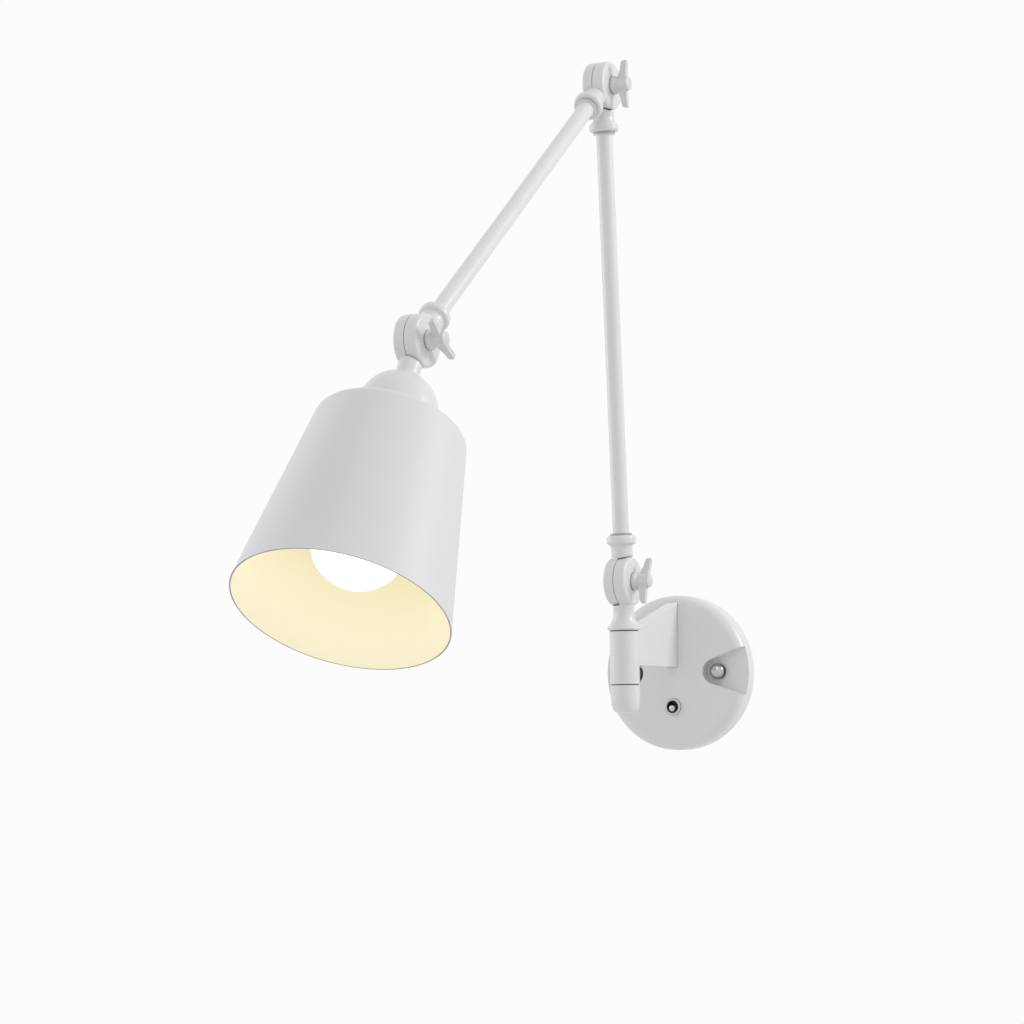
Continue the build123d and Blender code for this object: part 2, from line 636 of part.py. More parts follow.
# ---- Bulb
def bulb_glass():
    start = CONTACT_TIP + BULB_TIP_T + BULB_BASE_LENGTH
    run = BULB_CENTRE - start

    def form(inset):
        neck_r = BULB_NECK_R - inset
        globe_r = BULB_R - inset
        outline = Bezier((neck_r, start), (neck_r, start + run * BULB_SHOULDER),
                         (globe_r, BULB_CENTRE - run * BULB_SHOULDER), (globe_r, BULB_CENTRE))
        diagonal = globe_r * sqrt(0.5)
        outline += ThreePointArc((globe_r, BULB_CENTRE), (diagonal, BULB_CENTRE + diagonal),
                                 (0, BULB_CENTRE + globe_r))
        outline += Polyline((0, BULB_CENTRE + globe_r), (0, start), (neck_r, start))
        return turned(outline)

    return form(0) - form(BULB_GLASS)


def bulb_base():
    start = CONTACT_TIP + BULB_TIP_T
    end = start + BULB_BASE_LENGTH
    inner_r = BULB_BASE_R - BULB_BASE_WALL
    outline = Polyline((0, start), (BULB_TIP_R, start), (BULB_BASE_R, start + BULB_CONE_H),
                       (BULB_BASE_R, end), (inner_r, end), (inner_r, start + BULB_CONE_H),
                       (0, start + BULB_CONE_H), close=True)
    return turned(outline)


def bulb_contact():
    return rod_z(BULB_TIP_R, CONTACT_TIP, CONTACT_TIP + BULB_TIP_T)


# ---- Toggle switch
def switch_body():
    front = face_height(hypot(SWITCH_BODY / 2, SWITCH_BODY / 2 - SWITCH_Z)) - CANOPY_WALL
    size = Box(SWITCH_BODY, front - SWITCH_BACK, SWITCH_BODY)
    body = Pos(0, -(front + SWITCH_BACK) / 2, 0) * size
    ring_front = switch_seat() + SWITCH_RING_T
    body += rod_off_wall(SWITCH_BUSHING_R, front, ring_front)
    body -= rod_off_wall(SWITCH_MOUTH_R, SWITCH_PIVOT, ring_front)
    body -= Pos(0, -SWITCH_PIVOT, 0) * Sphere(SWITCH_BALL_R + RUNNING)
    return Pos(0, 0, SWITCH_Z) * body


def switch_ring_nut():
    seat = switch_seat()
    ring = rod_off_wall(SWITCH_RING_R, seat, seat + SWITCH_RING_T)
    ring = chamfer(ring.faces().sort_by(Axis.Y)[0].edges(), SWITCH_RING_EDGE)
    ring -= rod_off_wall(SWITCH_BUSHING_R, seat, seat + SWITCH_RING_T)
    return Pos(0, 0, SWITCH_Z) * ring


def switch_lever():
    """A ball-footed lever with a rounded tip, tilted down at rest."""
    shoulder = SWITCH_LEVER_LENGTH - SWITCH_TIP_R
    diagonal = SWITCH_TIP_R * sqrt(0.5)
    outline = Polyline((0, SWITCH_LEVER_LENGTH), (0, 0), (SWITCH_STEM_R, 0),
                       (SWITCH_STEM_R, SWITCH_BALL_R), (SWITCH_TIP_R, shoulder))
    outline += ThreePointArc((SWITCH_TIP_R, shoulder), (diagonal, shoulder + diagonal),
                             (0, SWITCH_LEVER_LENGTH))
    lever = turned_off_wall(outline) + Sphere(SWITCH_BALL_R)
    return Pos(0, -SWITCH_PIVOT, SWITCH_Z) * Rot(SWITCH_TILT, 0, 0) * lever


def switch_terminals():
    blade = Box(TERMINAL_T, TERMINAL_LENGTH, TERMINAL_WIDTH)
    place = Pos(0, -SWITCH_BACK + TERMINAL_LENGTH / 2, SWITCH_Z)
    return [place * Pos(side * TERMINAL_SPACING / 2, 0, 0) * blade for side in (-1, 1)]


# ---- Every node by its name: one solid, or a list of like solids
def clamp_nodes(name, place, bolt_lean, wing_angle):
    return {
        f"{name}_pivot_bolt": leaning(place, bolt_lean) * pivot_bolt(),
        f"{name}_friction_disc": place * friction_disc(),
        f"{name}_washer": place * washer(),
        f"{name}_wing_nut": place * wing_nut(wing_angle),
    }


def head_nodes():
    place = leaning(HEAD_KNUCKLE, SHADE_LEAN)
    pieces = (head_fitting, socket_cup, cup_nut, lampholder_body, lampholder_shell,
              lampholder_contact, shade, shade_ring, bulb_glass, bulb_base, bulb_contact)
    return {piece.__name__: place * piece() for piece in pieces}


def all_nodes():
    studs = [Pos(side * STUD_X, 0, 0) for side in (-1, 1)]
    foot_seat = FOOT_FRONT - FOOT_T
    nodes = {
        "canopy": canopy(),
        "mounting_strap": mounting_strap(),
        "strap_studs": [place * stud() for place in studs],
        "cap_nuts": [place * cap_nut() for place in studs],
        "ground_screw": ground_screw(),
        "arm_bracket": arm_bracket(),
        "bracket_screws": [place * pan_screw(foot_seat, FOOT_T + BOSS_SCREW_DEPTH)
                           for place in foot_screw_places()],
        "switch_body": switch_body(),
        "switch_ring_nut": switch_ring_nut(),
        "switch_lever": switch_lever(),
        "switch_terminals": switch_terminals(),
        "upper_swivel_bush": swivel_bush(BARREL_TOP, 1),
        "lower_swivel_bush": swivel_bush(BARREL_BOTTOM, -1),
        "swivel_spindle": leaning(BASE_KNUCKLE, 180) * swivel_spindle(),
        "bottom_cap": bottom_cap(),
        "lower_arm_foot_fitting": leaning(BASE_KNUCKLE, LOWER_ARM_LEAN) * tube_fitting(-1),
        "lower_arm_tube": leaning(BASE_KNUCKLE, LOWER_ARM_LEAN) * arm_tube(),
        "lower_arm_elbow_fitting": leaning(ELBOW_KNUCKLE, LOWER_ARM_LEAN + 180) * tube_fitting(-1),
        "upper_arm_elbow_fitting": leaning(ELBOW_KNUCKLE, UPPER_ARM_LEAN) * tube_fitting(1),
        "upper_arm_tube": leaning(ELBOW_KNUCKLE, UPPER_ARM_LEAN) * arm_tube(),
        "upper_arm_head_fitting": leaning(HEAD_KNUCKLE, UPPER_ARM_LEAN + 180) * tube_fitting(1),
    }
    nodes.update(clamp_nodes("base", BASE_KNUCKLE, LOWER_ARM_LEAN, BASE_WING_ANGLE))
    nodes.update(clamp_nodes("elbow", ELBOW_KNUCKLE, LOWER_ARM_LEAN, ELBOW_WING_ANGLE))
    nodes.update(clamp_nodes("head", HEAD_KNUCKLE, SHADE_LEAN, HEAD_WING_ANGLE))
    nodes.update(head_nodes())
    return nodes


os.makedirs("parts", exist_ok=True)
for name, made in all_nodes().items():
    solids = made if isinstance(made, list) else [made]
    whole = Compound(label=name, children=[solid for piece in solids for solid in piece.solids()])
    export_step(whole, f"parts/{name}.step")
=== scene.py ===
"""Looks of an articulating wall lamp: white powder coat, bright nuts and a lit globe bulb."""

import json
from math import asin, atan2, cos, degrees, radians, sin

import bpy
from bpy.props import FloatProperty, FloatVectorProperty, PointerProperty
from mathutils import Matrix, Vector


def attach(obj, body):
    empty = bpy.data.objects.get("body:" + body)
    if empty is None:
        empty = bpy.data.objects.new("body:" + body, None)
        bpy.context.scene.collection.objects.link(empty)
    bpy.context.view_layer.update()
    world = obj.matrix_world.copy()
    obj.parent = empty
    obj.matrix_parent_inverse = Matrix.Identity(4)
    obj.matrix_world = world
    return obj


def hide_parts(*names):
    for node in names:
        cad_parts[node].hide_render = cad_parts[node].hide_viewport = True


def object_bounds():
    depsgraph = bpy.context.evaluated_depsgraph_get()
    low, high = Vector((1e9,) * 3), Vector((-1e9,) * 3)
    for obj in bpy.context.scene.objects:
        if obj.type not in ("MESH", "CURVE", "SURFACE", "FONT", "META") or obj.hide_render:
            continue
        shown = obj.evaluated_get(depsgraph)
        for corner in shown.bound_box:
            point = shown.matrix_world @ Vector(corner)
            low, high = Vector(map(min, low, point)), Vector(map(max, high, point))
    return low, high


bl_info = {
    "name": "Articulating wall lamp",
    "version": (1, 0, 0),
    "blender": (4, 5, 0),
    "location": "3D View > Sidebar > Wall Lamp",
    "description": "Adds the finishes, the turned pieces and the studio of a jointed wall lamp",
    "category": "Add Mesh",
}

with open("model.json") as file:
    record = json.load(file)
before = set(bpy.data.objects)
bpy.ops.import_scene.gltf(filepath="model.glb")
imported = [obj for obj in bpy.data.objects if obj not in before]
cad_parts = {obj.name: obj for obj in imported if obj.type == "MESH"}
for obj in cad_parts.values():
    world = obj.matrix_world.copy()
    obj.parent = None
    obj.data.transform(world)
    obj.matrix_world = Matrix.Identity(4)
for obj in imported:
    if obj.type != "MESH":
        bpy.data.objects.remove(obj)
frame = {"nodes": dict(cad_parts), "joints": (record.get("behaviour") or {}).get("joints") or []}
CAD_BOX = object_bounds()
JOINT_PLACES = {joint["name"]: Vector(joint["pos_m"]) for joint in frame["joints"]}

# ---- Camera, from a fit of the lamp's outline to the photograph
CAMERA_PLACE = Vector((0.97599, -2.20137, -0.06708))
CAMERA_AZIMUTH = radians(27.033)  # from the wall's normal towards +X
CAMERA_ELEVATION = radians(-4.642)
CAMERA_ROLL = radians(-0.981)
CAMERA_LENS = 108.27  # millimetres
SENSOR_WIDTH = 36.0  # millimetres
VIEW_DEPTH = 100.0  # metres

# ---- Studio, in metres
FLOOR_MIDDLE_Y = -0.5
FLOOR_COLOR = (0.85, 0.85, 0.85)
FLOOR_WHITENESS = 0.75  # share of the background in it, which leaves it the lamp's shadow
LIGHT_COLOR = (1.0, 1.0, 1.0)
LIGHT_AIM = Vector((0, -0.25, 0.2))  # about the lamp's middle

# ---- The head's axis, from the head knuckle down through the cup, the bulb and the shade
HEAD_PLACE = JOINT_PLACES["head_tilt"]
HEAD_LEAN = radians(150.0)  # out from upright
HEAD_AXIS = Vector((0.0, -sin(HEAD_LEAN), cos(HEAD_LEAN)))
HEAD = Matrix.Translation(HEAD_PLACE) @ Matrix.Rotation(HEAD_LEAN, 4, "X")
OFF_WALL = Matrix.Rotation(radians(90.0), 4, "X")  # turns Z out of the wall

# ---- Shade, in metres along the head's axis
SHADE_START = 0.0718
SHADE_LENGTH = 0.139
SHADE_END = SHADE_START + SHADE_LENGTH
SHADE_TOP_R = 0.0505
SHADE_MOUTH_R = 0.072
SHADE_SHOULDER = 0.0065  # radius of the bend from the top into the wall
SHADE_HOLE_R = 0.020
GLOW_START = SHADE_START + 0.4 * SHADE_LENGTH  # the inside's painted glow rises from here to the mouth
SHADE_OUTSIDE, SHADE_INSIDE, SHADE_RIM = range(3)  # the order of its materials
INSIDE_FACING = 0.1  # how far a face's normal turns inwards, or down the axis, inside the shade

# ---- Bulb, in metres along the head's axis
BULB_CENTRE = 0.159
BULB_R = 0.03175
BULB_NECK_R = 0.0138
BULB_NECK_START = 0.09975
BULB_NECK_ANGLE = -52.0  # degrees, where the globe runs into the neck
BULB_LAST_ANGLE = 88.0  # degrees, of the last ring before the pole

# ---- Cap nuts, in metres
NUT_SPACING = 0.070  # between the two
NUT_SEAT = 0.0105  # height of the pocket's floor above the wall
NUT_R = 0.006
NUT_CHAMFER = 0.0003
NUT_SKIRT = 0.0036
NUT_GROOVE_SLOPE = 0.0002  # height over which the skirt runs into the groove
NUT_GROOVE = 0.0003  # depth of the groove, behind the dome's edge
NUT_DOME_START = 0.0042
NUT_DOME_R = 0.00625
NUT_LAST_ANGLE = 84.0  # degrees, of the last ring before the pole
NUT_HEIGHT = 0.0085
# the nut's side and groove take near-black plating, a painted dark reflection
NUT_DOME, NUT_REFLECTION_SIDE = range(2)  # the order of its materials

# ---- Corners, rings and smoothing of the turned pieces
ROUND = 96  # corners of a large piece
SMALL_ROUND = 48
SHOULDER_STEPS = 8
WALL_STEPS = 8
NECK_STEPS = 8
GLOBE_STEPS = 28
DOME_STEPS = 12
SAME_PLACE = 1e-7  # metres between corners that are merged
SMOOTH_ANGLE = 40.0  # degrees up to which two faces look like one surface
GLASS_SMOOTH_ANGLE = 60.0

# ---- Painted shade on the knuckles' castings, and where it lies, in metres
KNUCKLES = ("base", "elbow", "head")
STEP_R = 0.0196  # of the step round each knuckle's disc, where the shade in the gap is painted near-black
LIP_R = 0.0082  # of the lip of a casting round its tube's end, where a thin line of shade is painted
LIP_START = 0.0347  # from the knuckle's axis, along the arm
LIP_END = 0.0364
ROUND_SLACK = 0.00008  # how far a round face's facets may lie from its radius
# the side along X of each knuckle where the step gets painted shade
SHADED_STEP_SIDES = {"base_knuckle_tilt": -1, "elbow_tilt": 1, "head_tilt": -1}  # side along X
ARMS = (("base_knuckle_tilt", "elbow_tilt"), ("elbow_tilt", "head_tilt"))  # joints at their ends

# ---- Grain of the finishes, in metres: spacings, and heights of what stands out
COAT_CLOUDS = 0.045
COAT_WAVE_HEIGHT = 0.000004
COAT_WAVE_SHARE = 0.3  # of the waves, beside the clouds, in how dull the coat is
WIPING_MARKS = 0.0006
WIPING_MARK_HEIGHT = 0.000004
METAL_CLOUDS = 0.004
METAL_GRAIN = 0.0004
METAL_GRAIN_HEIGHT = 0.000006
PLASTIC_CLOUDS = 0.012
PLASTIC_GRAIN = 0.0005
PLASTIC_GRAIN_HEIGHT = 0.00002
FIBRE_GRAIN = 0.0012
GLASS_CLOUDS = 0.02

# ---- Colours of the finishes that have no setting
# grey painted shade in the groove at each casting's lip
LIP_PAINTED_SHADE = (0.44, 0.44, 0.445)
# near-black painted shade in the gap round each knuckle's disc
STEP_PAINTED_SHADE = (0.012, 0.012, 0.013)
SATIN_PLATING = (0.58, 0.58, 0.59)
BRIGHT_PLATING = (0.50, 0.50, 0.51)
# near-black plating on the cap nuts' sides: a painted dark reflection
SKIRT_PAINTED_REFLECTION = (0.05, 0.05, 0.052)
ZINC = (0.46, 0.47, 0.48)
BRASS = (0.80, 0.62, 0.32)
BULB_BASE_METAL = (0.78, 0.78, 0.79)
BLACK_PLASTIC = (0.030, 0.030, 0.032)
BUSH_PLASTIC = (0.045, 0.045, 0.047)
FRICTION_FIBRE = (0.060, 0.052, 0.045)
SHADE_RIM_PAINT = (0.45, 0.43, 0.40)
GLASS_DARK = (0.93, 0.91, 0.86)
GLASS_LIGHT = (0.96, 0.95, 0.92)


# ---- Settings
class LampPaintSettings(bpy.types.PropertyGroup):
    color: FloatVectorProperty(
        name="Paint", description="Colour of the white powder coat", subtype="COLOR",
        size=3, min=0.0, max=1.0, default=(0.800, 0.800, 0.805))
    shade_color: FloatVectorProperty(
        name="Shade paint", description="Colour of the paint outside the shade", subtype="COLOR",
        size=3, min=0.0, max=1.0, default=(0.790, 0.792, 0.800))
    casting_color: FloatVectorProperty(
        name="Castings", description="Colour of the coat on the knuckles' castings",
        subtype="COLOR", size=3, min=0.0, max=1.0, default=(0.785, 0.785, 0.790))
    # a darker copy of the white coat: painted shade of the nuts' own wings and discs
    nut_shaded_color: FloatVectorProperty(
        name="Wing nuts", description="Colour of the coat on the wing nuts", subtype="COLOR",
        size=3, min=0.0, max=1.0, default=(0.715, 0.715, 0.720))
    # cream paint, tinted further yellow as painted light of the warm bulb
    inside_lit_color: FloatVectorProperty(
        name="Shade inside", description="Colour of the paint inside the shade", subtype="COLOR",
        size=3, min=0.0, max=1.0, default=(0.835, 0.814, 0.680))
    roughness: FloatProperty(
        name="Roughness", description="Roughness of the powder coat", subtype="FACTOR",
        min=0.0, max=1.0, default=0.28)
    shade_roughness: FloatProperty(
        name="Shade roughness", description="Roughness of the paint on the shade", subtype="FACTOR",
        min=0.0, max=1.0, default=0.52)
    grain: FloatProperty(
        name="Grain", description="Spacing of the powder coat's fine waves", unit="LENGTH",
        min=0.0002, max=0.01, default=0.0016)


class LampGlowSettings(bpy.types.PropertyGroup):
    color: FloatVectorProperty(
        name="Light", description="Colour of the lit bulb", subtype="COLOR",
        size=3, min=0.0, max=1.0, default=(1.0, 0.91, 0.70))
    strength: FloatProperty(
        name="Strength", description="Strength of the lit bulb", min=0.0, max=50.0, default=1.18)
    # strength of the painted glow on the paint near the shade's mouth, in place of the bulb's light
    # on it
    scatter: FloatProperty(
        name="Scatter", description="Light that the paint near the shade's mouth scatters on",
        min=0.0, max=5.0, default=0.23)


class LampShadeSettings(bpy.types.PropertyGroup):
    wall: FloatProperty(
        name="Wall", description="Thickness of the shade's sheet", unit="LENGTH",
        min=0.0003, max=0.003, default=0.001)


class LampStudioSettings(bpy.types.PropertyGroup):
    background: FloatVectorProperty(
        name="Background", description="Colour seen behind the lamp", subtype="COLOR",
        size=3, min=0.0, max=1.0, default=(0.973, 0.973, 0.973))
    world: FloatProperty(
        name="World", description="Strength of the even light from all sides",
        min=0.0, max=5.0, default=0.63)
    right_power: FloatProperty(
        name="Right light", description="Power of the large soft light on the right", unit="POWER",
        min=0.0, max=1000.0, default=22.2)
    front_power: FloatProperty(
        name="Front light", description="Power of the soft light above the camera", unit="POWER",
        min=0.0, max=1000.0, default=5.0)
    left_power: FloatProperty(
        name="Left light", description="Power of the soft light on the left", unit="POWER",
        min=0.0, max=1000.0, default=10.5)
    floor_drop: FloatProperty(
        name="Floor drop", description="How far the floor lies below the lamp", unit="LENGTH",
        min=0.0, max=3.0, default=1.0)
    floor_size: FloatProperty(
        name="Floor size", description="Length of the floor's sides", unit="LENGTH",
        min=0.5, max=20.0, default=7.0)


# ---- Node trees
MIX_FACTOR, MIX_FIRST, MIX_SECOND = 0, 6, 7  # the Mix node's inputs for colours
MIX_RESULT = 2


def rgba(color, factor=1.0):
    """A colour times a factor, as a colour socket takes it."""
    return (color[0] * factor, color[1] * factor, color[2] * factor, 1.0)


class Amount:
    """A number that varies over a surface. Python's operators on it add Math nodes."""

    def __init__(self, look, socket):
        self.look = look
        self.socket = socket

    def math(self, operation, first, second):
        """The amount that a Math node works out."""
        node = self.look.node("ShaderNodeMath", {"operation": operation}, {0: first, 1: second})
        return Amount(self.look, node.outputs["Value"])

    def __add__(self, other):
        return self.math("ADD", self, other)

    def __radd__(self, other):
        return self.math("ADD", other, self)

    def __mul__(self, other):
        return self.math("MULTIPLY", self, other)

    def __rmul__(self, other):
        return self.math("MULTIPLY", other, self)

    def __gt__(self, other):
        return self.math("GREATER_THAN", self, other)

    def __lt__(self, other):
        return self.math("LESS_THAN", self, other)

    def most(self, other):
        """The larger of two amounts."""
        return self.math("MAXIMUM", self, other)


class Look:
    """The nodes of a material or of the world, started empty."""

    def __init__(self, owner):
        owner.use_nodes = True
        self.owner = owner
        self.tree = owner.node_tree
        self.tree.nodes.clear()

    def node(self, kind, settings=None, inputs=None):
        """A new node, its settings made first, and its sockets given values or links."""
        node = self.tree.nodes.new(kind)
        for name, value in (settings or {}).items():
            setattr(node, name, value)
        for key, value in (inputs or {}).items():
            if isinstance(value, Amount):
                value = value.socket
            if isinstance(value, bpy.types.NodeSocket):
                self.tree.links.new(value, node.inputs[key])
            else:
                node.inputs[key].default_value = value
        return node

    def seen(self):
        """1 for rays of the camera, gloss and glass, and 0 for those that light the lamp."""
        path = self.node("ShaderNodeLightPath").outputs
        amount = Amount(self, path["Is Camera Ray"])
        return amount.most(path["Is Glossy Ray"]).most(path["Is Transmission Ray"])

    def blend(self, amount, first, second):
        """A shader between the shaders of two nodes."""
        inputs = {0: amount, 1: first.outputs[0], 2: second.outputs[0]}
        return self.node("ShaderNodeMixShader", None, inputs).outputs["Shader"]


class Finish(Look):
    """One procedural material, read from Object coordinates."""

    def __init__(self, name):
        super().__init__(bpy.data.materials.new(name))
        self.place = self.node("ShaderNodeTexCoord").outputs["Object"]

    def noise(self, spacing, detail=2.0, roughness=0.5):
        """Soft noise from 0 to 1, its waves a spacing apart, in metres."""
        node = self.node("ShaderNodeTexNoise", None, {
            "Vector": self.place, "Scale": 1.0 / spacing, "Detail": detail,
            "Roughness": roughness})
        return Amount(self, node.outputs["Fac"])

    def spread(self, amount, low, high, at_low=0.0, at_high=1.0):
        """Stretches the amounts from low to high over another range, held at its ends."""
        node = self.node("ShaderNodeMapRange", {"interpolation_type": "SMOOTHSTEP"}, {
            "Value": amount, "From Min": low, "From Max": high, "To Min": at_low,
            "To Max": at_high})
        return Amount(self, node.outputs["Result"])

    def vector_math(self, operation, *inputs):
        """The outputs of a Vector Math node."""
        settings = {"operation": operation}
        return self.node("ShaderNodeVectorMath", settings, dict(enumerate(inputs))).outputs

    def along(self, start, direction):
        """Distance from a start along a direction, in metres."""
        offset = self.vector_math("SUBTRACT", self.place, start)["Vector"]
        return Amount(self, self.vector_math("DOT_PRODUCT", offset, direction)["Value"])

    def reach(self, place, direction):
        """Distance from an axis through a place, in metres."""
        offset = self.vector_math("SUBTRACT", self.place, place)["Vector"]
        across = self.vector_math("CROSS_PRODUCT", offset, direction)["Vector"]
        return Amount(self, self.vector_math("LENGTH", across)["Value"])

    def mix(self, amount, first, second):
        """A colour between two colours."""
        inputs = {MIX_FACTOR: amount, MIX_FIRST: first, MIX_SECOND: second}
        return self.node("ShaderNodeMix", {"data_type": "RGBA"}, inputs).outputs[MIX_RESULT]

    def toned(self, color, amount, low, high, dark, light=1.0):
        """A colour times dark where an amount is low, up to times light where it is high."""
        share = self.spread(amount, low, high)
        return self.mix(share, rgba(color, dark), rgba(color, light))

    def bump(self, amount, height):
        """A normal that makes an amount stand out by a height, in metres."""
        node = self.node("ShaderNodeBump", None, {"Height": amount, "Distance": height})
        return node.outputs["Normal"]

    def surface(self, **inputs):
        """The finished material, with a surface of the given inputs."""
        named = {name.replace("_", " "): value for name, value in inputs.items()}
        shader = self.node("ShaderNodeBsdfPrincipled", None, named)
        self.node("ShaderNodeOutputMaterial", None, {"Surface": shader.outputs["BSDF"]})
        return self.owner


# ---- Finishes
def coat_layers(finish, color, roughness, grain):
    """Colour, roughness and normal of smooth powder coat: very fine waves and faint clouding."""
    waves = finish.noise(grain, detail=3.0)
    clouds = finish.noise(COAT_CLOUDS)
    base = finish.toned(color, clouds, low=0.35, high=0.65, dark=0.985)
    sheen = finish.spread(clouds + COAT_WAVE_SHARE * waves, low=0.4, high=0.9,
                          at_low=roughness - 0.03, at_high=roughness + 0.05)
    return base, sheen, finish.bump(waves, COAT_WAVE_HEIGHT)


def powder_coat(name, color, roughness, grain):
    """Powder coat with a satin sheen."""
    finish = Finish(name)
    base, sheen, normal = coat_layers(finish, color, roughness, grain)
    return finish.surface(Base_Color=base, Roughness=sheen, Normal=normal)


def between(amount, low, high):
    """1 where an amount lies between two limits, and 0 elsewhere."""
    return (amount > low) * (amount < high)


def around(amount, radius):
    """1 where an amount is a radius, within its slack."""
    return between(amount, radius - ROUND_SLACK, radius + ROUND_SLACK)


def lip_shade_mask(finish):
    """The thin lips of the castings round the tubes' ends, where a line of shade is painted."""
    lips = []
    for start, end in ARMS:
        place = JOINT_PLACES[start]
        arm = JOINT_PLACES[end] - place
        along = finish.along(place, arm.normalized())
        ends = (between(along, LIP_START, LIP_END)
                + between(along, arm.length - LIP_END, arm.length - LIP_START))
        lips.append(ends * around(finish.reach(place, arm.normalized()), LIP_R))
    return sum(lips)


def step_shade_mask(finish):
    """The step that each knuckle's disc turns over, on one side, where the shade in the gap is
    painted.
    """
    steps = []
    for joint, side in SHADED_STEP_SIDES.items():
        place = JOINT_PLACES[joint]
        outwards = finish.along(place, (side, 0, 0))
        steps.append((outwards > 0) * around(finish.reach(place, (1, 0, 0)), STEP_R))
    return sum(steps)


def casting_coat(name, color, roughness, grain, with_step_shade):
    """Powder coat on a casting, with painted shade on the lip at the tube and, if asked, on the
    step under the disc.
    """
    finish = Finish(name)
    base, sheen, normal = coat_layers(finish, color, roughness, grain)
    # paints a thin line of shade on the lip at the tube
    base = finish.mix(lip_shade_mask(finish), base, rgba(LIP_PAINTED_SHADE))
    if with_step_shade:
        # paints the shade in the gap round the disc near-black
        base = finish.mix(step_shade_mask(finish), base, rgba(STEP_PAINTED_SHADE))
    return finish.surface(Base_Color=base, Roughness=sheen, Normal=normal)


def bright_metal(name, color, roughness):
    """Polished plating with faint wiping marks."""
    finish = Finish(name)
    marks = finish.noise(WIPING_MARKS, detail=4.0, roughness=0.65)
    base = finish.toned(color, marks, low=0.3, high=0.7, dark=0.94)
    sheen = finish.spread(marks, low=0.3, high=0.8, at_low=roughness, at_high=roughness + 0.10)
    return finish.surface(Base_Color=base, Metallic=1.0, Roughness=sheen,
                          Normal=finish.bump(marks, WIPING_MARK_HEIGHT))


def dull_metal(name, color):
    """Plated steel or plain sheet metal: dull and slightly clouded."""
    finish = Finish(name)
    clouds = finish.noise(METAL_CLOUDS, detail=4.0, roughness=0.6)
    grains = finish.noise(METAL_GRAIN)
    base = finish.toned(color, clouds, low=0.35, high=0.65, dark=0.82)
    sheen = finish.spread(clouds, low=0.3, high=0.7, at_low=0.42, at_high=0.56)
    return finish.surface(Base_Color=base, Metallic=1.0, Roughness=sheen,
                          Normal=finish.bump(grains, METAL_GRAIN_HEIGHT))


def moulded(name, color, roughness, grain=PLASTIC_GRAIN):
    """Moulded plastic or fibre, or a coat as matt as these, with a fine grain."""
    finish = Finish(name)
    grains = finish.noise(grain)
    clouds = finish.noise(PLASTIC_CLOUDS)
    base = finish.toned(color, clouds, low=0.3, high=0.7, dark=0.85, light=1.1)
    sheen = finish.spread(grains, low=0.3, high=0.7,
                          at_low=roughness - 0.05, at_high=roughness + 0.08)
    return finish.surface(Base_Color=base, Roughness=sheen,
                          Normal=finish.bump(grains, PLASTIC_GRAIN_HEIGHT))


def glowing_coat(name, color, roughness, grain, glow):
    """Powder coat inside the shade with painted light: it glows, more towards the mouth, in place
    of the bulb's light on it.
    """
    finish = Finish(name)
    base, sheen, normal = coat_layers(finish, color, roughness, grain)
    down = finish.along(HEAD_PLACE, HEAD_AXIS)
    light = finish.toned(glow.color, down, low=GLOW_START, high=SHADE_END, dark=0.0)
    # the emission is painted light, not a lamp
    return finish.surface(Base_Color=base, Roughness=sheen, Emission_Color=light,
                          Emission_Strength=glow.scatter, Normal=normal)


def lit_glass(name, glow):
    """Opal glass lit from inside, with faint clouds."""
    finish = Finish(name)
    clouds = finish.noise(GLASS_CLOUDS)
    base = finish.mix(clouds, rgba(GLASS_DARK), rgba(GLASS_LIGHT))
    light = finish.toned(glow.color, clouds, low=0.3, high=0.7, dark=0.97)
    return finish.surface(Base_Color=base, Roughness=0.25, Emission_Color=light,
                          Emission_Strength=glow.strength)


# ---- Modelling helpers
def deselect():
    """Clears the selection, since an operator acts on all that is selected."""
    bpy.ops.object.select_all(action="DESELECT")


def turned(name, rings, corners=ROUND):
    """A shell turned about Z: its first ring is a circle, and each next one is an extruded loop.

    A radius of 0 closes the shell. At its start the floor is flat, level with the first ring.
    """
    deselect()
    has_floor = rings[0][0] == 0
    if has_floor:
        rings = rings[1:]
    last_r, last_z = rings[0]
    bpy.ops.mesh.primitive_circle_add(vertices=corners, radius=last_r, location=(0, 0, 0),
                                      fill_type="TRIFAN" if has_floor else "NOTHING")
    piece = bpy.context.object
    piece.name = piece.data.name = name
    bpy.ops.object.mode_set(mode="EDIT")
    bpy.ops.mesh.select_all(action="SELECT")
    bpy.ops.transform.translate(value=(0, 0, last_z))
    if has_floor:
        bpy.ops.mesh.region_to_loop()
    for r, z in rings[1:]:
        bpy.ops.mesh.extrude_edges_move(TRANSFORM_OT_translate={"value": (0, 0, z - last_z)})
        if r == 0:
            bpy.ops.mesh.merge(type="CENTER")
        else:
            ratio = r / last_r
            bpy.ops.transform.resize(value=(ratio, ratio, 1), center_override=(0, 0, z))
        last_r, last_z = r, z
    bpy.ops.mesh.select_all(action="SELECT")
    bpy.ops.mesh.remove_doubles(threshold=SAME_PLACE)
    bpy.ops.mesh.normals_make_consistent(inside=False)
    bpy.ops.object.mode_set(mode="OBJECT")
    return piece


def arc(centre, radius, start, end, steps):
    """Ring places (r, z) along a part of a circle, its angles from the r axis, in degrees."""
    places = []
    for step in range(steps + 1):
        angle = radians(start + (end - start) * step / steps)
        places.append((centre[0] + radius * cos(angle), centre[1] + radius * sin(angle)))
    return places


def finish_piece(piece, place, body, materials, smooth=SMOOTH_ANGLE):
    """Sets a piece in its place, with its origin at the world's, and makes it ride on its body."""
    deselect()
    piece.select_set(True)
    bpy.context.view_layer.objects.active = piece
    piece.matrix_world = place
    bpy.ops.object.transform_apply(location=True, rotation=True, scale=True)
    bpy.ops.object.shade_smooth_by_angle(angle=radians(smooth))
    for material in materials:
        piece.data.materials.append(material)
    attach(piece, body)


